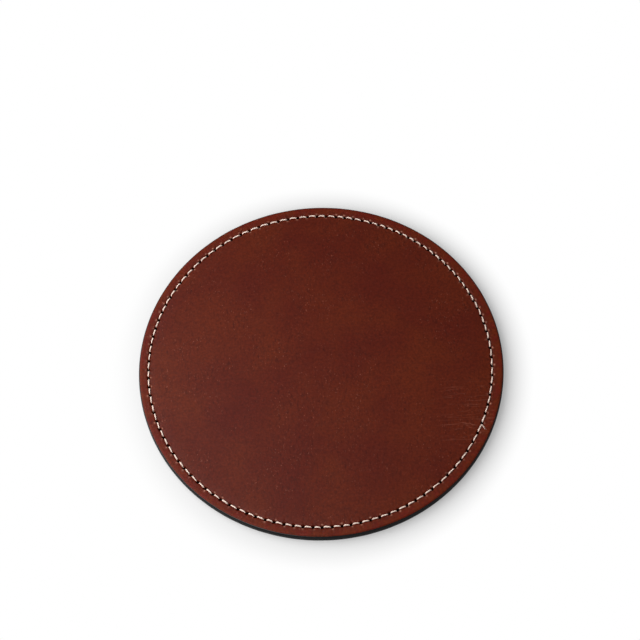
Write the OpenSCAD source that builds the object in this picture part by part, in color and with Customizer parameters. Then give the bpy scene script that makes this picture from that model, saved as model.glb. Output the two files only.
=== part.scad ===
// Round stitched leather drink coaster.
// Two leather discs are glued to a stiffening board, sewn together near the rim
// with a lockstitch, and finished with a painted edge.
// The disc lies on the plane z = 0 with its middle at the origin.

/* [Disc] */
// Diameter over the painted edge
coaster_d = 100; // [80:1:130]
// Thickness of the grain leather on top
top_leather_t = 1.4; // [1.2:0.1:2.4]
// Thickness of the stiffening board in the middle
core_t = 0.7; // [0.5:0.1:2]
// Thickness of the suede leather underneath
backing_t = 1; // [0.9:0.1:2]
// Thickness of each dried film of contact glue
glue_t = 0.06; // [0.04:0.01:0.16]

/* [Edge] */
// How far the edge paint bulges out beyond the trimmed leather
paint_bulge = 0.3; // [0.16:0.02:0.6]
// Radius of the bevelled corners, where the paint stops
corner_r = 0.3; // [0.1:0.05:0.5]

/* [Seam] */
// Distance from the outside edge to the middle of the seam
seam_inset = 3; // [2.4:0.1:6]
// Length of one stitch, from needle hole to needle hole
stitch_length = 2.64; // [2.4:0.02:4]
// Width of the grooves that the stitches lie in
groove_w = 1.3; // [1.2:0.05:1.8]
// Direction of the hole where the seam begins, from the right-hand side
seam_start_a = -25.2; // [-180:0.1:180]

/* [Thread] */
// Diameter of the thread where it lies on the leather
thread_d = 0.52; // [0.42:0.02:0.58]
// Diameter of the thread where it is drawn tight inside a needle hole
leg_d = 0.3; // [0.26:0.02:0.34]
// Diameter of the thread where needle and bobbin threads lock together
lock_d = 0.28; // [0.2:0.02:0.28]
// Radius of the bend from the surface down into a needle hole
bend_r = 0.42; // [0.3:0.02:0.5]
// Height that the top stitches stand above the leather
needle_proud = 0.28; // [0.16:0.02:0.4]
// Depth that the bottom stitches lie inside the suede
bobbin_recess = 0.03; // [0.02:0.01:0.1]
// Room left round the thread in its grooves and holes
thread_clear = 0.05; // [0.03:0.01:0.08]
// Room left between the two threads where they lock
lock_gap = 0.02; // [0.01:0.005:0.04]

/* [Thread end] */
// Length of the trimmed thread end that sticks out of the seam
tail_l = 1.5; // [1:0.1:1.8]
// Diameter of the trimmed end at its root
tail_root_d = 0.26; // [0.2:0.02:0.3]
// Diameter of the trimmed end at its tip
tail_tip_d = 0.14; // [0.1:0.02:0.2]
// Angle that the trimmed end turns outwards from the last stitch
tail_turn_a = 125; // [70:1:130]
// Angle that the trimmed end rises at
tail_rise_a = 15; // [15:1:25]

/* [Hidden] */
$fn = 96;
thread_fn = 24;
run_fn = 256;

// How far a cutting shape runs past what it cuts
overrun = 1;
// How far one stretch of thread reaches into the next
thread_lap = 0.03;

// Radii, from the painted edge inwards
coaster_r = coaster_d / 2;
stack_r = coaster_r - paint_bulge;
seam_r = coaster_r - seam_inset;

// Heights of the faces between the layers, from the table up
backing_top = backing_t;
core_bottom = backing_top + glue_t;
core_top = core_bottom + core_t;
leather_bottom = core_top + glue_t;
top_z = leather_bottom + top_leather_t;

// The paint is an arc over the straight wall between the two bevelled corners
paint_half_h = top_z / 2 - corner_r;
paint_arc_r = arc_radius(2 * paint_half_h, paint_bulge);

// Needle holes, each with room for the four legs that meet in it
stitch_count = round(2 * PI * seam_r / stitch_length);
stitch_a = 360 / stitch_count;
loop_r = (leg_d + lock_d) / 2 + lock_gap;
leg_offset = loop_r / sqrt(2);
needle_hole_d = 2 * loop_r + leg_d + 2 * thread_clear;

// Stitches: the way between two holes, and the run that thins over its ends
stitch_span = norm(stitch_end(1) - stitch_start(1));
run_l = stitch_span - 2 * bend_r + 2 * thread_lap;
run_end_d = (thread_d + leg_d) / 2;
run_arc_r = arc_radius(run_l, (thread_d - run_end_d) / 2);

// Grooves, just deep enough for their stitches
top_groove_depth = thread_d - needle_proud + thread_clear;
bottom_groove_depth = thread_d + bobbin_recess + thread_clear;

// Heights of the thread's axis on each face, and of the lock between them
needle_run_z = top_z + needle_proud - thread_d / 2;
bobbin_run_z = bobbin_recess + thread_d / 2;
lock_z = top_z / 2;
needle_depth = needle_run_z - lock_z - loop_r / 2;
bobbin_depth = lock_z - loop_r / 2 - bobbin_run_z;

// Radius of the arc that stands on a chord with this height
function arc_radius(chord, height) = (chord * chord / 4 + height * height) / (2 * height);

// A point near a needle hole: the hole's direction, then the way outwards and the way along the seam
function beside_hole(a, outwards, along) =
    (seam_r + outwards) * [cos(a), sin(a)] + along * [-sin(a), cos(a)];

// Half section of a disc whose upper outer corner is rounded
module rounded_section(r, t) {
    square([r - corner_r, t]);
    square([r, t - corner_r]);
    translate([r - corner_r, t - corner_r]) circle(corner_r);
}

// Section of a seam groove, cut into a face at height z
module groove_section(z, depth) {
    r = arc_radius(groove_w, depth);
    translate([seam_r, z + r - depth]) circle(r);
}

// One needle hole for each stitch, as an outline
module hole_outlines() {
    for (k = [0 : stitch_count - 1])
        rotate(seam_start_a + k * stitch_a) translate([seam_r, 0]) circle(d = needle_hole_d);
}

// The needle holes, right through the stack
module needle_holes() {
    translate([0, 0, -overrun]) linear_extrude(top_z + 2 * overrun) hole_outlines();
}

// A leather disc with its grain or suede face upwards, sewing groove and bevelled corner
module leather_disc(t, groove_depth) {
    rotate_extrude() difference() {
        rounded_section(stack_r, t);
        groove_section(t, groove_depth);
    }
}

// A plain layer between the two leathers, punched by the needle
module inner_layer(z, t) {
    translate([0, 0, z]) linear_extrude(t) difference() {
        circle(stack_r);
        hole_outlines();
    }
}

// Where a stitch leaves one needle hole and where it enters the next, seen from above
function stitch_start(slant) = beside_hole(-stitch_a / 2, -slant * leg_offset, leg_offset);
function stitch_end(slant) = beside_hole(stitch_a / 2, slant * leg_offset, -leg_offset);

// Puts a shape in the middle of a stitch and points it along the stitch, or back along it
module along_stitch(k, slant, back_a = 0) {
    way = stitch_end(slant) - stitch_start(slant);
    rotate([0, 0, seam_start_a + (k + 1 / 2) * stitch_a])
        translate((stitch_start(slant) + stitch_end(slant)) / 2)
            rotate([0, 0, atan2(way.y, way.x) + back_a])
                children();
}

// The part of a stitch that lies on the leather: a plump run that thins towards its ends
module surface_run() {
    rotate([0, 90, 0]) rotate_extrude($fn = thread_fn) intersection() {
        translate([thread_d / 2 - run_arc_r, 0]) circle(run_arc_r, $fn = run_fn);
        translate([0, -run_l / 2]) square([thread_d, run_l]);
    }
}

// The quarter turn from the surface down into a needle hole
module bend() {
    translate([stitch_span / 2 - bend_r, 0, -bend_r]) rotate([90, 0, 0])
        rotate_extrude(angle = 90, $fn = 2 * thread_fn)
            translate([bend_r, 0]) circle(d = leg_d, $fn = thread_fn);
}

// The straight leg inside a needle hole, a little thinner than the bend above it
module leg(depth) {
    translate([stitch_span / 2, 0, -depth - thread_lap])
        cylinder(d = (leg_d + lock_d) / 2, h = depth + 2 * thread_lap - bend_r, $fn = thread_fn);
}

// The loop at the foot of two legs, which hooks round the other thread
module lock_loop(k, slant, depth) {
    rotate([0, 0, seam_start_a + k * stitch_a]) translate([seam_r, 0, -depth])
        rotate([-90, 0, atan2(-1, slant)])
            rotate_extrude(angle = 180, $fn = 2 * thread_fn)
                translate([loop_r, 0]) circle(d = lock_d, $fn = thread_fn);
}

// A whole thread, with its stitches on the plane z = 0 and its loops below
module seam_thread(slant, depth) {
    for (k = [0 : stitch_count - 1]) {
        along_stitch(k, slant) surface_run();
        along_stitch(k, slant) bend();
        along_stitch(k, slant, 180) bend();
        along_stitch(k, slant) leg(depth);
        along_stitch(k, slant, 180) leg(depth);
        lock_loop(k, slant, depth);
    }
}

// The trimmed end of the seam, which comes out beside the last stitch
module thread_end() {
    along_stitch(-1, 1) translate([stitch_span / 2 - bend_r, 0, needle_run_z])
        rotate([0, 90 - tail_rise_a, -tail_turn_a])
            cylinder(d1 = tail_root_d, d2 = tail_tip_d, h = tail_l, $fn = thread_fn);
}

module top_leather() {
    color([0.41, 0.18, 0.14]) difference() {
        translate([0, 0, leather_bottom]) leather_disc(top_leather_t, top_groove_depth);
        needle_holes();
    }
}

module upper_glue_film() {
    color([0.76, 0.62, 0.35]) inner_layer(core_top, glue_t);
}

module core_board() {
    color([0.55, 0.43, 0.3]) inner_layer(core_bottom, core_t);
}

module lower_glue_film() {
    color([0.76, 0.62, 0.35]) inner_layer(backing_top, glue_t);
}

module backing_leather() {
    color([0.3, 0.19, 0.14]) difference() {
        translate([0, 0, backing_top]) mirror([0, 0, 1]) leather_disc(backing_t, bottom_groove_depth);
        needle_holes();
    }
}

module edge_paint() {
    color([0.05, 0.05, 0.05]) rotate_extrude() intersection() {
        translate([coaster_r - paint_arc_r, top_z / 2]) circle(paint_arc_r);
        translate([stack_r, 0]) square([paint_bulge + overrun, top_z]);
    }
}

module needle_thread() {
    color([0.95, 0.85, 0.78]) {
        translate([0, 0, needle_run_z]) seam_thread(1, needle_depth);
        thread_end();
    }
}

module bobbin_thread() {
    color([0.95, 0.85, 0.78])
        translate([0, 0, bobbin_run_z]) mirror([0, 0, 1]) seam_thread(-1, bobbin_depth);
}

top_leather();
upper_glue_film();
core_board();
lower_glue_film();
backing_leather();
edge_paint();
needle_thread();
bobbin_thread();
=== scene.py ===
# Round leather drink coaster: grain leather over suede, sewn round the rim, with a painted edge
import math
import random

import bpy
from mathutils import Matrix, Vector, noise


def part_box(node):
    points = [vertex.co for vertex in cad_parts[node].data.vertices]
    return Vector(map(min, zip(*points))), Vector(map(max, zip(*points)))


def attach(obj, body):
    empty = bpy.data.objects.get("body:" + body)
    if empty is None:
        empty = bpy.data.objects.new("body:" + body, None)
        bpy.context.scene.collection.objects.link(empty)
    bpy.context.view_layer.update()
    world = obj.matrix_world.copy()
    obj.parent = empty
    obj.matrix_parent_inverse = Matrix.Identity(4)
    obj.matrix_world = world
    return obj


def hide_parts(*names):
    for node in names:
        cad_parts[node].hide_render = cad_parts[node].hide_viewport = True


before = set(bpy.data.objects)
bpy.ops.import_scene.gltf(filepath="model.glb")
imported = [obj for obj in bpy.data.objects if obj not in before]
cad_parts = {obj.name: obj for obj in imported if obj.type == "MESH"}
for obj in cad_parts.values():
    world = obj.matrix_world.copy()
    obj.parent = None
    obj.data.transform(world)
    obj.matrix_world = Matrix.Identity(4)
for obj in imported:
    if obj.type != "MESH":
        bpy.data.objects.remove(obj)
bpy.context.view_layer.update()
mm = 0.001
weldGap = mm / 1000  # points closer than this become one

# main sizes, read from the frame
leatherLow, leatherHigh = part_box("top_leather")
suedeLow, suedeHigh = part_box("backing_leather")
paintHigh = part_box("edge_paint")[1]
stackRadius = leatherHigh.x
coasterRadius = paintHigh.x
topZ = leatherHigh.z
print("frame loaded, coaster radius", round(coasterRadius / mm, 2), "mm")

# the row of needle holes that both leathers and both threads share
seam = {
    "inset": 3.0 * mm,  # painted edge to the line of holes
    "middle": Vector((-0.23 * mm, -0.11 * mm, 0)),  # sewn a little off the middle of the disc
    "stitches": 112,
    "startAngle": -25.0,  # the hole beside the trimmed thread end, in degrees
    # uneven feed: the number of waves round the rim, and each one's size and peak in degrees
    "drift": ((1, 1.04, -44.6), (2, 2.1, 1.4), (3, 1.33, 11.7)),
    "driftRounds": 8,  # of working out where a hole has drifted to
    "jitter": 0.12,  # degrees, either way
    "seed": 2,
}
seamRadius = coasterRadius - seam["inset"]


# modelling helpers

def clearSelection():
    if bpy.context.mode != "OBJECT":
        bpy.ops.object.mode_set(mode="OBJECT")
    bpy.ops.object.select_all(action="DESELECT")


def evenSteps(first, last, count):
    return [first + (last - first) * step / count for step in range(1, count + 1)]


def around(radius, angle, height):
    return Vector((radius * math.cos(angle), radius * math.sin(angle), height))


def drift(angle):
    # the leather was fed by hand, so the stitches are longer on one side than on the other
    total = 0
    for waves, size, peak in seam["drift"]:
        total += size * math.cos(math.radians(waves * (angle - peak)))
    return total


def holeAngles():
    draws = random.Random(seam["seed"])
    first = seam["startAngle"] - drift(seam["startAngle"])
    angles = []
    for number in range(seam["stitches"]):
        even = first + number * 360 / seam["stitches"]
        angle = even
        for attempt in range(seam["driftRounds"]):
            angle = even + drift(angle)
        angles.append(math.radians(angle + draws.uniform(-1, 1) * seam["jitter"]))
    return angles


holes = holeAngles()


def sewnPlace(outward, angle, height):
    return seam["middle"] + around(seamRadius + outward, angle, height)


def drawRings(name, section, steps):
    # a circle at the section's first point, extruded ring by ring through the other points
    clearSelection()
    radius, height = section[0]
    bpy.ops.mesh.primitive_circle_add(vertices=steps, radius=radius)
    piece = bpy.context.object
    piece.name = name
    bpy.ops.object.mode_set(mode="EDIT")
    bpy.ops.mesh.select_mode(type="EDGE")
    bpy.ops.mesh.select_all(action="SELECT")
    bpy.ops.transform.translate(value=(0, 0, height))
    for nextRadius, nextHeight in section[1:]:
        rise = {"value": (0, 0, nextHeight - height)}
        bpy.ops.mesh.extrude_edges_move(TRANSFORM_OT_translate=rise)
        if nextRadius == 0:
            bpy.ops.mesh.merge(type="COLLAPSE")
            break
        growth = nextRadius / radius
        bpy.ops.transform.resize(value=(growth, growth, 1))
        radius, height = nextRadius, nextHeight
    bpy.ops.mesh.select_mode(type="VERT")
    bpy.ops.object.mode_set(mode="OBJECT")
    return piece


def joinInto(piece, others):
    clearSelection()
    for other in others:
        other.select_set(True)
    piece.select_set(True)
    bpy.context.view_layer.objects.active = piece
    bpy.ops.object.join()


def fillBetween(piece, radii, height):
    # the flat gap between two open rings at these radii and this height is filled with faces
    clearSelection()
    bpy.context.view_layer.objects.active = piece
    piece.select_set(True)
    bpy.ops.object.mode_set(mode="EDIT")
    bpy.ops.mesh.select_mode(type="EDGE")
    bpy.ops.mesh.select_all(action="DESELECT")
    bpy.ops.object.mode_set(mode="OBJECT")
    near = 0.01 * mm
    ringOf = {}
    for vertex in piece.data.vertices:
        if abs(vertex.co.z - height) < near:
            reach = vertex.co.xy.length
            for radius in radii:
                if abs(reach - radius) < near:
                    ringOf[vertex.index] = radius
    for edge in piece.data.edges:
        first, second = edge.vertices
        edge.select = first in ringOf and ringOf[first] == ringOf.get(second)
    bpy.ops.object.mode_set(mode="EDIT")
    bpy.ops.mesh.fill()
    bpy.ops.mesh.select_mode(type="VERT")
    bpy.ops.object.mode_set(mode="OBJECT")


def closeUp(piece, angle):
    # no open seams, outward normals, and smooth shading that keeps the true edges
    clearSelection()
    bpy.context.view_layer.objects.active = piece
    piece.select_set(True)
    bpy.ops.object.mode_set(mode="EDIT")
    bpy.ops.mesh.select_all(action="SELECT")
    bpy.ops.mesh.remove_doubles(threshold=weldGap)
    bpy.ops.mesh.normals_make_consistent(inside=False)
    bpy.ops.object.mode_set(mode="OBJECT")
    bpy.ops.object.shade_smooth_by_angle(angle=math.radians(angle))


def setFinish(piece, finish):
    piece.data.materials.clear()
    piece.data.materials.append(finish)


# shader helpers

class Wire:
    # a socket of a material, which sums and products turn into Math nodes
    def __init__(self, tree, socket=None):
        self.tree = tree
        self.socket = socket

    def feed(self, socket, value):
        if isinstance(value, Wire):
            self.tree.links.new(value.socket, socket)
        else:
            socket.default_value = value

    def add(self, kind, settings=None, sockets=None, output=0):
        node = self.tree.nodes.new("ShaderNode" + kind)
        for name, value in (settings or {}).items():
            setattr(node, name, value)
        for name, value in (sockets or {}).items():
            self.feed(node.inputs[name], value)
        return Wire(self.tree, node.outputs[output] if node.outputs else None)

    def part(self, name):
        # another output of the node that this socket belongs to
        return Wire(self.tree, self.socket.node.outputs[name])

    def maths(self, operation, first, second=0.0):
        return self.add("Math", {"operation": operation}, {0: first, 1: second})

    def __add__(self, other):
        return self.maths("ADD", self, other)

    def __sub__(self, other):
        return self.maths("SUBTRACT", self, other)

    def __rsub__(self, other):
        return self.maths("SUBTRACT", other, self)

    def __mul__(self, other):
        return self.maths("MULTIPLY", self, other)

    def __abs__(self):
        return self.maths("ABSOLUTE", self)

    __radd__ = __add__

    def between(self, low, high):
        # 0 at low and 1 at high, eased
        sockets = {"Value": self, "From Min": low, "From Max": high}
        return self.add("MapRange", {"interpolation_type": "SMOOTHSTEP"}, sockets)

    def mixColours(self, first, second):
        # this socket is the share of the second colour
        return self.add("Mix", {"data_type": "RGBA"}, {0: self, 6: first, 7: second}, 2)

    def noiseAt(self, scale, detail=2.0, roughness=0.5, distortion=0.0):
        # this socket is the place that the noise is read at
        sockets = {"Vector": self, "Scale": scale, "Detail": detail,
                   "Roughness": roughness, "Distortion": distortion}
        return self.add("TexNoise", {}, sockets)

    def placed(self, scale, location=(0, 0, 0), turn=0):
        # this socket is a place, which is stretched, turned in degrees and shifted
        sockets = {"Vector": self, "Scale": scale, "Location": location,
                   "Rotation": (0, 0, math.radians(turn))}
        return self.add("Mapping", {}, sockets)


def paintTone(red, green, blue):
    # a colour as a picture editor writes it, from 0 to 255
    def linear(level):
        share = level / 255
        return share / 12.92 if share <= 0.04045 else ((share + 0.055) / 1.055) ** 2.4
    return linear(red), linear(green), linear(blue), 1.0


def newFinish(name):
    finish = bpy.data.materials.new(name)
    finish.use_nodes = True
    finish.node_tree.nodes.clear()
    wire = Wire(finish.node_tree)
    inMillimetres = wire.add("TexCoord", {}, {}, "Object").placed((1 / mm, 1 / mm, 1 / mm))
    return finish, wire, inMillimetres


def bumped(wire, look, height):
    return wire.add("Bump", {}, {"Strength": look["bump"], "Distance": look["relief"], "Height": height})


def coat(wire, sockets):
    shader = wire.add("BsdfPrincipled", {}, sockets)
    wire.add("OutputMaterial", {}, {"Surface": shader})


# finishes, where a noise is written as its scale to the millimetre, detail, roughness and distortion,
# and a placing as its stretch, shift and turn in degrees

grainLook = {
    "tan": paintTone(104, 37, 13),
    "oxblood": paintTone(91, 25, 12),
    "umber": paintTone(48, 11, 5),
    "pale": paintTone(164, 98, 78),
    "burrHighlight": paintTone(200, 142, 120),
    # painted highlight: a pale tint for the lit tops of the burrs beside the needle holes
    "rim": paintTone(112, 39, 8),
    "rimRed": paintTone(114, 26, 12),
    # painted shade for the insides of the needle holes
    "holeShade": paintTone(20, 7, 5),
    "pebbles": 1.7,  # to the millimetre
    "pebbleSoftness": 0.6,
    "warpShare": 0.12,
    "warpNoise": (1.1, 2.0),
    "poreNoise": (5.0, 3.0, 0.6),
    "cloudNoise": (0.06, 2.0, 0.5, 0.4),
    "patchNoise": (0.32, 3.0, 0.6),
    "mottleNoise": (1.5, 4.0, 0.7),
    "fleckNoise": (2.4, 2.0, 0.7),
    "fleckPlacing": ((1, 0.6, 1), (0, 0, 0), 12),
    "clusterNoise": (0.13, 2.0),
    "clusterPlacing": ((1, 1, 1), (14, 5, 0)),
    "wrinkleNoise": (1.0, 3.0, 0.6, 0.3),
    "wrinklePlacing": ((1.9, 0.55, 1), (0, 0, 0), 8),
    "lineNoise": (1.0, 2.0, 0.5, 0.1),
    "linePlacing": ((0.06, 0.9, 1), (0, 0, 0), -2),
    "lineFineness": 34,
    "breakNoise": (1.0, 1.0),
    "breakPlacing": ((0.2, 0.9, 1),),
    "spotPlacing": ((1 / 9, 1 / 11, 0), (-39 / 9, 17 / 11, 0)),
    "strayLines": 0.1,  # strength of the lines away from the spot
    "scarPlacing": ((1, 1, 1), (-42.4, 10.1, 0), 14),
    "waverNoise": (0.9, 1.0),
    "waverWidth": 0.9,
    "rimNoise": (0.45, 2.0),
    "rimStrength": 0.65,
    "fleckShare": 0.4,
    "creaseShare": 0.2,
    "burrHighlightShare": 0.75,
    "bump": 0.5,
    "relief": 0.05 * mm,
    "specular": 0.14,
}


def grainLeatherFinish():
    look = grainLook
    finish, wire, place = newFinish("grainLeather")
    warp = place.noiseAt(*look["warpNoise"])
    warped = wire.add("Mix", {"data_type": "VECTOR"}, {0: look["warpShare"], 4: place, 5: warp}, 1)
    cells = {"Vector": warped, "Scale": look["pebbles"], "Smoothness": look["pebbleSoftness"]}
    pebbles = wire.add("TexVoronoi", {"feature": "SMOOTH_F1"}, cells)
    pores = place.noiseAt(*look["poreNoise"])
    clouds = place.noiseAt(*look["cloudNoise"])
    patches = place.noiseAt(*look["patchNoise"])
    mottle = place.noiseAt(*look["mottleNoise"])
    flecks = place.placed(*look["fleckPlacing"]).noiseAt(*look["fleckNoise"]).between(0.62, 0.74)
    clusters = place.placed(*look["clusterPlacing"]).noiseAt(*look["clusterNoise"]).between(0.4, 0.62)
    wrinkles = place.placed(*look["wrinklePlacing"]).noiseAt(*look["wrinkleNoise"])
    # stretch lines run across the hide, most of them in one spot near the thread end
    lines = place.placed(*look["linePlacing"]).noiseAt(*look["lineNoise"])
    ridges = 1 - abs(lines - 0.5) * look["lineFineness"]
    spot = place.placed(*look["spotPlacing"])
    near = wire.add("VectorMath", {"operation": "LENGTH"}, {0: spot}, "Value").between(1.3, 0.5)
    broken = place.placed(*look["breakPlacing"]).noiseAt(*look["breakNoise"]).between(0.36, 0.56)
    creased = look["strayLines"] + near * (1 - look["strayLines"])
    # the longest of them, which wavers
    scar = wire.add("SeparateXYZ", {}, {0: place.placed(*look["scarPlacing"])})
    waver = (place.noiseAt(*look["waverNoise"]) - 0.5) * look["waverWidth"]
    scarLine = abs(scar.part("Y") + waver).between(0.2, 0.04) * abs(scar.part("X")).between(2.8, 1.6)
    creases = ridges.between(0.1, 1) * broken * creased + scarLine * 1.2
    sunk = wire.add("Attribute", {"attribute_name": "sunk"}, {}, "Fac")
    rimShare = wire.add("Attribute", {"attribute_name": "rim"}, {}, "Fac")
    burrHighlight = wire.add("Attribute", {"attribute_name": "burrHighlight"}, {}, "Fac")
    colour = clouds.between(0.2, 0.8).mixColours(look["oxblood"], look["tan"])
    rimNoise = place.noiseAt(*look["rimNoise"])
    rimTone = rimNoise.between(0.4, 0.62).mixColours(look["rim"], look["rimRed"])
    colour = (rimShare * look["rimStrength"]).mixColours(colour, rimTone)
    dyed = mottle.between(0.3, 0.7) * 0.34 + pebbles.between(0.2, 0.7) * 0.14
    dyed = dyed + patches.between(0.5, 0.8) * 0.12
    dyed = dyed + wrinkles.between(0.5, 0.72) * (0.12 + clusters * 0.2)
    colour = dyed.mixColours(colour, look["umber"])
    colour = (flecks * clusters * look["fleckShare"]).mixColours(colour, look["pale"])
    colour = (creases * look["creaseShare"]).mixColours(colour, look["pale"])
    # painted highlight on the raised burrs beside the needle holes
    colour = (burrHighlight * look["burrHighlightShare"]).mixColours(colour, look["burrHighlight"])
    # painted shade: the needle holes turn near black where the leather sinks deepest
    colour = sunk.between(0.1, 0.5).mixColours(colour, look["holeShade"])
    height = pebbles * 0.5 + pores * 0.2 + mottle * 0.3 + creases * 0.9 - wrinkles * 0.7
    rough = 0.36 + patches * 0.1 + pores * 0.06
    bump = bumped(wire, look, height)
    coat(wire, {"Base Color": colour, "Roughness": rough, "Normal": bump,
                "Specular IOR Level": look["specular"]})
    return finish


threadLook = {
    "cream": paintTone(255, 234, 220),
    "shade": paintTone(232, 198, 178),
    "fibreNoise": (9.0, 3.0, 0.65, 0.4),
    "fibreShare": 0.6,
    "handledNoise": (0.5, 2.0),
    "handledShare": 0.4,
    "bump": 0.6,
    "relief": 0.03 * mm,
    "specular": 0.35,
    "sheen": 0.15,
}


def threadFinish():
    look = threadLook
    finish, wire, place = newFinish("waxedThread")
    fibres = place.noiseAt(*look["fibreNoise"])
    handled = place.noiseAt(*look["handledNoise"])
    colour = (fibres.between(0.4, 0.7) * look["fibreShare"]).mixColours(look["cream"], look["shade"])
    colour = (handled.between(0.5, 0.8) * look["handledShare"]).mixColours(colour, look["shade"])
    bump = bumped(wire, look, fibres)
    coat(wire, {"Base Color": colour, "Roughness": 0.55 + fibres * 0.2, "Normal": bump,
                "Specular IOR Level": look["specular"], "Sheen Weight": look["sheen"]})
    return finish


paintLook = {
    "black": paintTone(8, 8, 9),
    "rubbed": paintTone(22, 20, 20),
    "rubbedNoise": (1.4, 4.0, 0.65),
    "rubbedShare": 0.5,
    "brushNoise": (1.2, 3.0, 0.6),
    "brushPlacing": ((0.5, 0.5, 3),),
    "bump": 0.35,
    "relief": 0.05 * mm,
    "specular": 0.08,
    "lipHeights": (2.7, 2.9),  # where the shine of the upper lip begins and is full, in millimetres
    "lipCoat": 0.7,
    "lipRoughness": 0.15,
}


def edgePaintFinish():
    look = paintLook
    finish, wire, place = newFinish("edgePaint")
    brushed = place.placed(*look["brushPlacing"]).noiseAt(*look["brushNoise"])
    rubbed = place.noiseAt(*look["rubbedNoise"])
    colour = (rubbed.between(0.55, 0.78) * look["rubbedShare"]).mixColours(look["black"], look["rubbed"])
    # the upper lip is rubbed shiny
    lip = wire.add("SeparateXYZ", {}, {0: place}).part("Z").between(*look["lipHeights"])
    bump = bumped(wire, look, brushed)
    coat(wire, {"Base Color": colour, "Roughness": 0.34 + rubbed * 0.2, "Normal": bump,
                "Coat Weight": lip * look["lipCoat"], "Coat Roughness": look["lipRoughness"],
                "Specular IOR Level": look["specular"]})
    return finish


suedeLook = {
    "nap": paintTone(98, 66, 49),
    # darker tone of the strokes: painted shade of nap that lies the other way
    "brushed": paintTone(80, 52, 38),
    "roots": paintTone(52, 32, 23),
    "hairNoise": (3.2, 4.0, 0.72),
    "hairPlacing": ((1, 0.4, 1), (0, 0, 0), 25),
    "hairShare": 0.5,
    "tuftNoise": (0.9, 4.0, 0.7),
    "tuftShare": 0.3,
    "napShadeNoise": (1.0, 2.0, 0.5, 0.3),
    "napShadePlacing": ((0.035, 0.11, 1), (0, 0, 0), 25),
    "bump": 0.7,
    "relief": 0.16 * mm,
    "specular": 0.15,
    "sheen": 0.3,
}


def suedeFinish():
    look = suedeLook
    finish, wire, place = newFinish("suedeNap")
    hairs = place.placed(*look["hairPlacing"]).noiseAt(*look["hairNoise"])
    tufts = place.noiseAt(*look["tuftNoise"])
    napShadeStrokes = place.placed(*look["napShadePlacing"]).noiseAt(*look["napShadeNoise"])
    # painted sheen and shade: strokes where the nap lies different ways, as lighter and darker tones of
    # one suede
    colour = napShadeStrokes.between(0.35, 0.65).mixColours(look["nap"], look["brushed"])
    parted = hairs.between(0.4, 0.7) * look["hairShare"] + tufts.between(0.45, 0.75) * look["tuftShare"]
    colour = parted.mixColours(colour, look["roots"])
    bump = bumped(wire, look, hairs + tufts * 0.6)
    coat(wire, {"Base Color": colour, "Roughness": 0.88 + hairs * 0.1, "Normal": bump,
                "Specular IOR Level": look["specular"], "Sheen Weight": look["sheen"]})
    return finish


boardLook = {
    "straw": paintTone(168, 132, 96),
    "bark": paintTone(112, 80, 54),
    "fibreNoise": (1.5, 4.0, 0.7),
    "fibrePlacing": ((0.5, 2.2, 3),),
    "bump": 0.5,
    "relief": 0.05 * mm,
}


def boardFinish():
    look = boardLook
    finish, wire, place = newFinish("fibreBoard")
    fibres = place.placed(*look["fibrePlacing"]).noiseAt(*look["fibreNoise"])
    colour = fibres.between(0.35, 0.7).mixColours(look["straw"], look["bark"])
    bump = bumped(wire, look, fibres)
    coat(wire, {"Base Color": colour, "Roughness": 0.8 + fibres * 0.15, "Normal": bump})
    return finish


glueLook = {
    "thin": paintTone(206, 174, 112),
    "thick": paintTone(168, 128, 66),
    "brushNoise": (1.0, 3.0, 0.6),
    "brushPlacing": ((0.25, 1.4, 1), (0, 0, 0), 20),
    "bump": 0.4,
    "relief": 0.03 * mm,
}


def glueFinish():
    look = glueLook
    finish, wire, place = newFinish("driedGlue")
    brushed = place.placed(*look["brushPlacing"]).noiseAt(*look["brushNoise"])
    colour = brushed.between(0.35, 0.7).mixColours(look["thin"], look["thick"])
    bump = bumped(wire, look, brushed)
    coat(wire, {"Base Color": colour, "Roughness": 0.4 + brushed * 0.2, "Normal": bump})
    return finish


finishes = {
    "grain_leather": grainLeatherFinish(),
    "thread": threadFinish(),
    "edge_paint": edgePaintFinish(),
    "suede": suedeFinish(),
    "board": boardFinish(),
    "glue": glueFinish(),
}
print("finishes ready:", len(finishes))


# the two leather discs

disc = {
    "field": 41.5 * mm,  # the plain middle, inside the sewn band
    "bandStart": 43.0 * mm,
    "seamHalf": 1.1 * mm,  # half the width of the finely meshed strip along the holes
    "cornerRadius": 0.42 * mm,
    "fieldSteps": 230,
    "fieldRings": 15,
    "bandSteps": 1792,
    "innerRings": 5,  # of the band, from its start to the finely meshed strip
    "seamRings": 20,
    "outerRings": 4,
    "cornerRings": 5,
    "smoothAngle": 40,  # degrees
}


def discSection(face, back):
    # from the band's inner line on the face, over the corner and the wall, to the back
    up = 1 if face > back else -1
    shoulder = stackRadius - disc["cornerRadius"]
    radii = [disc["bandStart"]]
    seamInner = seamRadius - disc["seamHalf"]
    seamOuter = seamRadius + disc["seamHalf"]
    radii += evenSteps(disc["bandStart"], seamInner, disc["innerRings"])
    radii += evenSteps(seamInner, seamOuter, disc["seamRings"])
    radii += evenSteps(seamOuter, shoulder, disc["outerRings"])
    section = [(radius, face) for radius in radii]
    for turn in evenSteps(0, math.pi / 2, disc["cornerRings"]):
        drop = disc["cornerRadius"] * (1 - math.cos(turn))
        section.append((shoulder + disc["cornerRadius"] * math.sin(turn), face - up * drop))
    return section + [(stackRadius, back), (disc["bandStart"], back)]


def leatherDisc(name, face, back):
    band = drawRings(name, discSection(face, back), disc["bandSteps"])
    radii = [disc["field"]] + evenSteps(disc["field"], 0, disc["fieldRings"])
    faceField = drawRings(name + "Face", [(radius, face) for radius in radii], disc["fieldSteps"])
    backField = drawRings(name + "Back", [(radius, back) for radius in radii], disc["fieldSteps"])
    joinInto(band, [faceField, backField])
    fillBetween(band, (disc["field"], disc["bandStart"]), face)
    fillBetween(band, (disc["field"], disc["bandStart"]), back)
    return band


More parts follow.
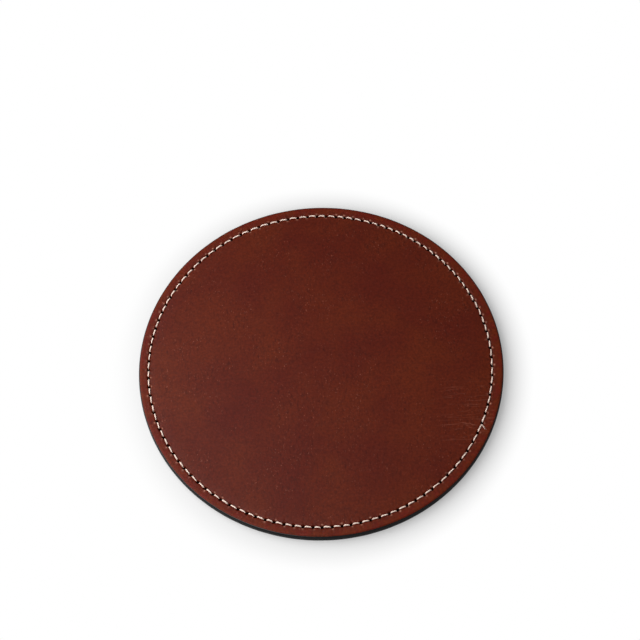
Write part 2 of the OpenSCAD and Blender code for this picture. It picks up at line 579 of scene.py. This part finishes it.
def seamPlace(point):
    # the way along from the nearest hole, the way out from the line of holes, and that hole's number
    way = point - seam["middle"]
    angle = math.atan2(way.y, way.x)
    gaps = [(abs(math.remainder(angle - hole, 2 * math.pi)), number)
            for number, hole in enumerate(holes)]
    nearest = min(gaps)[1]
    along = math.remainder(angle - holes[nearest], 2 * math.pi) * seamRadius
    return along, way.xy.length - seamRadius, nearest


def swell(distance, width):
    return math.exp(-(distance / width) ** 2)


def pressSeam(piece, face, back, press):
    # thread tension draws the leather down along the seam, most at the holes
    draws = random.Random(press["seed"])
    puckers = [(draws.uniform(0, 1), draws.uniform(0, 1)) for hole in holes]
    burrs = []
    for hole in holes:
        shift = draws.uniform(*press["burrShift"])
        side = draws.choice(press["burrSides"])
        burrs.append((shift, side, draws.uniform(*press["burrSize"])))
    diagonal = math.sqrt(0.5)
    up = 1 if face > back else -1
    middle = (face + back) / 2
    sunk = piece.data.attributes.new("sunk", "FLOAT", "POINT")
    rim = piece.data.attributes.new("rim", "FLOAT", "POINT")
    burrHighlight = piece.data.attributes.new("burrHighlight", "FLOAT", "POINT")
    for vertex in piece.data.vertices:
        if (vertex.co.z - middle) * up < 0:
            continue
        along, outward, hole = seamPlace(vertex.co)
        across = (along + outward) * diagonal
        lengthwise = (along - outward) * diagonal
        reach = math.hypot(across / press["slitWidth"], lengthwise / press["slitLength"])
        slit = math.exp(-reach ** press["slitSharpness"])
        lip = swell(math.hypot(along, outward) - press["lipRadius"], press["lipWidth"])
        inner, outer = puckers[hole]
        tug = (outer if outward > 0 else inner) * swell(along, press["puckerWidth"])
        tug *= swell(abs(outward) - press["puckerReach"], press["puckerReach"] * press["puckerFade"])
        groove = press["groove"] * swell(outward, press["grooveHalf"])
        valley = press["valley"] * swell(outward, press["valleyHalf"])
        shift, side, size = burrs[hole]
        beside = math.hypot(along - shift * press["burrReach"], outward - side * press["burrReach"])
        burr = size * swell(beside, press["burrRadius"])
        raised = press["lip"] * lip + press["burr"] * burr
        depth = groove + valley + press["slitDepth"] * slit + press["pucker"] * tug - raised
        layer = press["seed"] * press["waveLength"]
        place = Vector((vertex.co.x, vertex.co.y, layer)) / press["waveLength"]
        wave = press["wave"] * noise.noise(place)
        wave += press["ripple"] * noise.noise(place * press["ripples"])
        vertex.co.z -= up * max(depth + wave + press["wave"], 0)
        sunk.data[vertex.index].value = max(press["slitDepth"] * slit / mm, 0)
        # the burr mask, which the leather finish uses for a painted highlight
        burrHighlight.data[vertex.index].value = burr
        rim.data[vertex.index].value = min(max((outward - press["rimFrom"]) / press["rimFade"], 0), 1)


topPress = {
    "groove": 0.16 * mm,
    "grooveHalf": 0.42 * mm,
    "valley": 0.1 * mm,
    "valleyHalf": 1.5 * mm,
    "slitWidth": 0.33 * mm,
    "slitLength": 0.45 * mm,
    "slitDepth": 0.75 * mm,
    "slitSharpness": 3,
    "lip": 0.05 * mm,
    "lipRadius": 0.75 * mm,
    "lipWidth": 0.25 * mm,
    "burr": 0.08 * mm,
    "burrRadius": 0.22 * mm,
    "burrReach": 0.62 * mm,
    "burrShift": (-0.2, 0.5),  # along the seam, as shares of the reach
    "burrSides": (1, 1, 1, -1),  # most of them lie outside the seam
    "burrSize": (0.3, 1),
    "pucker": 0.06 * mm,
    "puckerWidth": 0.24 * mm,
    "puckerReach": 1.1 * mm,
    "puckerFade": 0.6,  # share of the reach
    "wave": 0.02 * mm,
    "waveLength": 16 * mm,
    "ripple": 0.006 * mm,
    "ripples": 4,  # to one wave
    "rimFrom": 0.4 * mm,  # where the colour of the rim begins, outside the seam
    "rimFade": 1.2 * mm,
    "seed": 3,
}

grainTop = leatherDisc("grainTop", topZ, leatherLow.z)
pressSeam(grainTop, topZ, leatherLow.z, topPress)
closeUp(grainTop, disc["smoothAngle"])
setFinish(grainTop, finishes["grain_leather"])
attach(grainTop, "root")
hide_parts("top_leather")
print("grain leather:", len(grainTop.data.polygons), "faces")

suedePress = dict(topPress, groove=0.5 * mm, grooveHalf=0.5 * mm, valley=0.02 * mm, slitDepth=0.25 * mm,
                  lip=0.0, burr=0.0, pucker=0.03 * mm, wave=0.0, ripple=0.0, seed=5)

suedeBase = leatherDisc("suedeBase", suedeLow.z, suedeHigh.z)
pressSeam(suedeBase, suedeLow.z, suedeHigh.z, suedePress)
closeUp(suedeBase, disc["smoothAngle"])
setFinish(suedeBase, finishes["suede"])
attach(suedeBase, "root")
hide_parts("backing_leather")
print("suede:", len(suedeBase.data.polygons), "faces")


# the painted edge

edge = {
    "steps": 690,
    "lapIn": 0.14 * mm,  # hidden inside the leather's wall
    "lipDrop": 0.27 * mm,  # leather corner left bare above the paint
    "arcPoints": 20,
    "fullness": 2.4,  # 2 is an ellipse, and more is squarer
    "unevenRadius": 0.02 * mm,
    "unevenLip": 0.05 * mm,
    "unevenLength": 5 * mm,
    "thickPatches": 1.7,  # to one uneven length
    "upperLayer": 7,  # of the noise that moves the upper lip
    "lowerLayer": 19,
    "smoothAngle": 60,  # degrees
}


def edgeSection():
    middle = topZ / 2
    half = middle - edge["lipDrop"]
    bulge = coasterRadius - stackRadius
    arc = []
    for turn in [-math.pi / 2] + evenSteps(-math.pi / 2, math.pi / 2, edge["arcPoints"]):
        share = math.sin(turn)
        swelling = (1 - abs(share) ** edge["fullness"]) ** (1 / edge["fullness"])
        arc.append((stackRadius + bulge * swelling, middle + half * share))
    inside = stackRadius - edge["lapIn"]
    return [(inside, middle - half)] + arc + [(inside, middle + half), (inside, middle - half)]


def unevenEdge(piece):
    # brushed on by hand: the lip wanders and the coat is thicker in places
    for vertex in piece.data.vertices:
        place = Vector((vertex.co.x, vertex.co.y, 0)) / edge["unevenLength"]
        layer = edge["upperLayer"] if vertex.co.z > topZ / 2 else edge["lowerLayer"]
        lift = noise.noise(place + Vector((0, 0, layer))) * edge["unevenLip"]
        share = abs(vertex.co.z - topZ / 2) / (topZ / 2)
        vertex.co.z += lift * share
        thin = 1 + noise.noise(place * edge["thickPatches"])
        drawnIn = 1 - edge["unevenRadius"] / coasterRadius * thin
        vertex.co.x *= drawnIn
        vertex.co.y *= drawnIn


paintBand = drawRings("paintBand", edgeSection(), edge["steps"])
unevenEdge(paintBand)
closeUp(paintBand, edge["smoothAngle"])
setFinish(paintBand, finishes["edge_paint"])
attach(paintBand, "root")
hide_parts("edge_paint")
print("painted edge:", len(paintBand.data.polygons), "faces")


# the seam's two threads

topThread = {
    "level": topZ + 0.03 * mm,  # the thread's middle line at the top of a stitch
    "dive": 1.05 * mm,
    "startSharpness": 9,  # how suddenly a stitch comes up out of its first hole
    "endSharpness": 6,  # and goes down into the next
    "plies": 3,
    "plyRadius": 0.128 * mm,
    "plyOffset": 0.108 * mm,
    "turns": 1.9,  # twist over one stitch
    "upright": 0.05,  # a line that leans less than this takes its sides from the x axis
    "points": 16,
    "legAlong": 0.46 * mm,  # from the middle of a hole to the leg that goes down it
    "legAside": 0.09 * mm,
    "slant": 1,
    "girth": 0.96,  # share of the ply's radius at the start of a stitch
    "thinning": 0.3,  # lost from the start of a stitch to its end
    "unevenSide": 0.035 * mm,
    "unevenLevel": 0.025 * mm,
    "unevenGirth": 0.07,
    "smoothAngle": 70,  # degrees
    "seed": 11,
}
bobbinThread = dict(topThread, level=suedeLow.z + 0.3 * mm, dive=-0.6 * mm, slant=-1,
                    unevenLevel=0.012 * mm, thinning=0.08, points=10, seed=13)


def stitchLine(number, thread, draws):
    # the middle line of one stitch, from hole to hole, with points closest at its ends
    side = draws.uniform(-1, 1) * thread["unevenSide"]
    level = thread["level"] + draws.uniform(-1, 1) * thread["unevenLevel"]
    begin = holes[number] + thread["legAlong"] / seamRadius
    following = holes[(number + 1) % seam["stitches"]]
    sweep = (following - holes[number]) % (2 * math.pi) - 2 * thread["legAlong"] / seamRadius
    line = []
    for step in range(thread["points"]):
        share = 0.5 - 0.5 * math.cos(math.pi * step / (thread["points"] - 1))
        outward = thread["slant"] * thread["legAside"] * (2 * share - 1) + side
        sharpness = thread["startSharpness"] if share < 0.5 else thread["endSharpness"]
        drop = thread["dive"] * abs(2 * share - 1) ** sharpness
        line.append(sewnPlace(outward, begin + sweep * share, level - drop))
    return line


def addStrand(curve, line, radii):
    strand = curve.splines.new("POLY")
    strand.points.add(len(line) - 1)
    for point, place, radius in zip(strand.points, line, radii):
        point.co = (place.x, place.y, place.z, 1)
        point.radius = radius
    strand.use_smooth = True


def twistPlies(curve, line, thread, phase, girths, splay=None):
    # each ply winds round the line at a little distance
    last = len(line) - 1
    for ply in range(thread["plies"]):
        wound = []
        for step, place in enumerate(line):
            ahead = (line[min(step + 1, last)] - line[max(step - 1, 0)]).normalized()
            beside = Vector((0, 0, 1)).cross(ahead)
            if beside.length < thread["upright"]:
                beside = Vector((1, 0, 0)).cross(ahead)
            beside.normalize()
            above = ahead.cross(beside)
            turn = phase + 2 * math.pi * (ply / thread["plies"] + thread["turns"] * step / last)
            reach = thread["plyOffset"] * girths[step] * (splay[step] if splay else 1)
            wound.append(place + reach * (math.cos(turn) * beside + math.sin(turn) * above))
        addStrand(curve, wound, girths)


def newThread(name, thickness):
    clearSelection()
    bpy.ops.curve.primitive_nurbs_path_add()
    piece = bpy.context.object
    piece.name = name
    curve = piece.data
    curve.splines.clear()
    curve.dimensions = "3D"
    curve.bevel_depth = thickness
    curve.bevel_resolution = 1
    curve.use_fill_caps = True
    return piece


def sewSeam(name, thread):
    draws = random.Random(thread["seed"])
    piece = newThread(name, thread["plyRadius"])
    for number in range(seam["stitches"]):
        line = stitchLine(number, thread, draws)
        girth = thread["girth"] + draws.uniform(-1, 1) * thread["unevenGirth"]
        loss = thread["thinning"] / (len(line) - 1)
        girths = [girth * (1 - loss * step) for step in range(len(line))]
        twistPlies(piece.data, line, thread, draws.uniform(0, 2 * math.pi), girths)
    return piece


trimmedEnd = {
    "before": 0.66 * mm,  # along the last stitch, from the hole that this goes down
    "aside": 0.08 * mm,
    "length": 1.3 * mm,
    "turn": math.radians(-118),  # away from the stitch that it follows
    "rise": math.radians(12),
    "sag": 1.6,  # share of the rise lost by the tip
    "curl": math.radians(-20),
    "points": 9,
    "rootGirth": 0.46,  # shares of a ply
    "girthLoss": 0.26,
    "splay": 1.4,
    "plyTurns": 0.8,
    "plyPhase": 0.4,
    "fibres": 14,
    "fibreRadius": 0.1,  # share of a ply
    "fibreTaper": 0.12,  # lost from each point to the next
    "fibreLength": 0.36 * mm,
    "fibreShortest": 0.5,  # share of that length
    "fibrePoints": 5,
    "fibreScatter": 0.02 * mm,
    "fibreSpread": 0.45,
    "fibreBow": 0.3,
    "seed": 12,
}


def scatter(draws, spread):
    return Vector([draws.gauss(0, spread) for axis in range(3)])


def frayEnd(piece, thread):
    # the cut end leaves beside hole 0, and its plies come apart
    draws = random.Random(trimmedEnd["seed"])
    rootAngle = holes[0] - trimmedEnd["before"] / seamRadius
    root = sewnPlace(trimmedEnd["aside"], rootAngle, thread["level"])
    heading = holes[0] + math.pi / 2 + trimmedEnd["turn"]
    line = [root]
    for step in range(1, trimmedEnd["points"]):
        share = step / (trimmedEnd["points"] - 1)
        course = heading + trimmedEnd["curl"] * share
        rise = trimmedEnd["rise"] * (1 - trimmedEnd["sag"] * share)
        ahead = around(math.cos(rise), course, math.sin(rise))
        line.append(line[-1] + ahead * trimmedEnd["length"] / (trimmedEnd["points"] - 1))
    shares = [step / (len(line) - 1) for step in range(len(line))]
    girths = [trimmedEnd["rootGirth"] - trimmedEnd["girthLoss"] * share for share in shares]
    splay = [1 + trimmedEnd["splay"] * share ** 2 for share in shares]
    loose = dict(thread, turns=trimmedEnd["plyTurns"])
    twistPlies(piece.data, line, loose, trimmedEnd["plyPhase"], girths, splay)
    tip = (line[-1] - line[-3]).normalized()
    steps = range(trimmedEnd["fibrePoints"])
    shares = [step / (trimmedEnd["fibrePoints"] - 1) for step in steps]
    radii = [trimmedEnd["fibreRadius"] * (1 - trimmedEnd["fibreTaper"] * step) for step in steps]
    for fibre in range(trimmedEnd["fibres"]):
        start = line[draws.randint(len(line) // 2, len(line) - 1)]
        start = start + scatter(draws, trimmedEnd["fibreScatter"])
        away = scatter(draws, trimmedEnd["fibreSpread"]) + tip
        bow = scatter(draws, trimmedEnd["fibreBow"])
        reach = trimmedEnd["fibreLength"] * draws.uniform(trimmedEnd["fibreShortest"], 1)
        hair = [start + (away * share + bow * share ** 2) * reach for share in shares]
        addStrand(piece.data, hair, radii)


def finishThread(piece, thread, node):
    clearSelection()
    piece.select_set(True)
    bpy.context.view_layer.objects.active = piece
    bpy.ops.object.convert(target="MESH")
    closeUp(piece, thread["smoothAngle"])
    setFinish(piece, finishes["thread"])
    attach(piece, "root")
    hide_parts(node)
    print(piece.name, len(piece.data.polygons), "faces")


topStitches = sewSeam("topStitches", topThread)
frayEnd(topStitches, topThread)
finishThread(topStitches, topThread, "needle_thread")
bobbinStitches = sewSeam("bobbinStitches", bobbinThread)
finishThread(bobbinStitches, bobbinThread, "bobbin_thread")

# the board and the glue films keep their solids
for node, slot in (("core_board", "board"), ("upper_glue_film", "glue"), ("lower_glue_film", "glue")):
    setFinish(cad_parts[node], finishes[slot])


# floor, light and camera

studio = {
    "floorSize": 4.0,  # metres, as are the lamps' places and sizes
    "floorWhite": (0.55, 0.55, 0.55, 1.0),
    "shadowDepth": 0.51,  # how much of the light on the floor the camera sees near the coaster
    "shadowGlow": 0.32,  # and how much white it sees there in any light
    "shadowReach": (50, 59),  # millimetres from the middle, to where the floor is plain white
    "skyLevel": 0.22,
    "keyPlace": (-0.125, -0.005, 0.165),
    "keySize": 0.28,
    "keyWatts": 0.53,
    "fillPlace": (-0.25, -0.45, 0.4),
    "fillSize": 0.4,
    "fillWatts": 0.67,
}


def layFloor():
    clearSelection()
    bpy.ops.mesh.primitive_plane_add(size=studio["floorSize"], location=(0, 0, 0))
    floor = bpy.context.object
    floor.name = "floor"
    finish, wire, place = newFinish("paleFloor")
    seen = wire.add("LightPath", {}, {}, "Is Camera Ray")
    paint = wire.add("BsdfDiffuse", {}, {"Color": studio["floorWhite"]})
    # the camera sees a soft shadow near the coaster, and plain white past it
    depth = studio["shadowDepth"]
    lit = wire.add("BsdfDiffuse", {}, {"Color": (depth, depth, depth, 1)})
    glow = wire.add("Emission", {}, {"Color": (1, 1, 1, 1), "Strength": studio["shadowGlow"]})
    shadow = wire.add("AddShader", {}, {0: lit, 1: glow})
    reach = wire.add("VectorMath", {"operation": "LENGTH"}, {0: place}, "Value")
    away = reach.between(*studio["shadowReach"])
    white = wire.add("Emission", {}, {"Color": (1, 1, 1, 1), "Strength": 1.0})
    shown = wire.add("MixShader", {}, {0: away, 1: shadow, 2: white})
    either = wire.add("MixShader", {}, {0: seen, 1: paint, 2: shown})
    wire.add("OutputMaterial", {}, {"Surface": either})
    setFinish(floor, finish)


def hangLamp(name, place, size, watts):
    clearSelection()
    bpy.ops.object.light_add(type="AREA", location=place)
    lamp = bpy.context.object
    lamp.name = name
    lamp.data.shape = "DISK"
    lamp.data.size = size
    lamp.data.energy = watts
    lamp.rotation_euler = (-Vector(place)).to_track_quat("-Z", "Y").to_euler()


def lightSky():
    sky = bpy.data.worlds.new("paleSky")
    sky.use_nodes = True
    sky.node_tree.nodes.clear()
    wire = Wire(sky.node_tree)
    seen = wire.add("LightPath", {}, {}, "Is Camera Ray")
    light = wire.add("Background", {}, {"Color": (1, 1, 1, 1), "Strength": studio["skyLevel"]})
    backdrop = wire.add("Background", {}, {"Color": (1, 1, 1, 1), "Strength": 1.0})
    either = wire.add("MixShader", {}, {0: seen, 1: light, 2: backdrop})
    wire.add("OutputWorld", {}, {"Surface": either})
    bpy.context.scene.world = sky


view = {
    "lens": 84.375,  # millimetres, as is the sensor
    "sensor": 36.0,
    "distance": 0.4136,  # metres
    "elevation": 64.69,  # degrees, as are the turns
    "pan": -0.048,
    "tilt": 1.831,
    "roll": 2.757,
}


def placeCamera():
    lift = math.radians(view["elevation"])
    eye = Vector((0, -math.cos(lift), math.sin(lift))) * view["distance"]
    ahead = -eye.normalized()
    right = Vector((1, 0, 0))
    above = right.cross(ahead)
    pan = Matrix.Rotation(math.radians(view["pan"]), 3, above)
    ahead, right = pan @ ahead, pan @ right
    tilt = Matrix.Rotation(math.radians(view["tilt"]), 3, right)
    ahead, above = tilt @ ahead, tilt @ above
    roll = Matrix.Rotation(math.radians(view["roll"]), 3, ahead)
    right, above = roll @ right, roll @ above
    clearSelection()
    bpy.ops.object.camera_add()
    camera = bpy.context.object
    camera.name = "camera"
    camera.data.lens = view["lens"]
    camera.data.sensor_width = view["sensor"]
    camera.data.clip_start = mm
    turned = Matrix((right, above, -ahead)).transposed().to_4x4()
    camera.matrix_world = Matrix.Translation(eye) @ turned
    bpy.context.scene.camera = camera


layFloor()
hangLamp("key", studio["keyPlace"], studio["keySize"], studio["keyWatts"])
hangLamp("fill", studio["fillPlace"], studio["fillSize"], studio["fillWatts"])
lightSky()
placeCamera()
bpy.context.scene.view_settings.view_transform = "Standard"
print("floor, light and camera set")
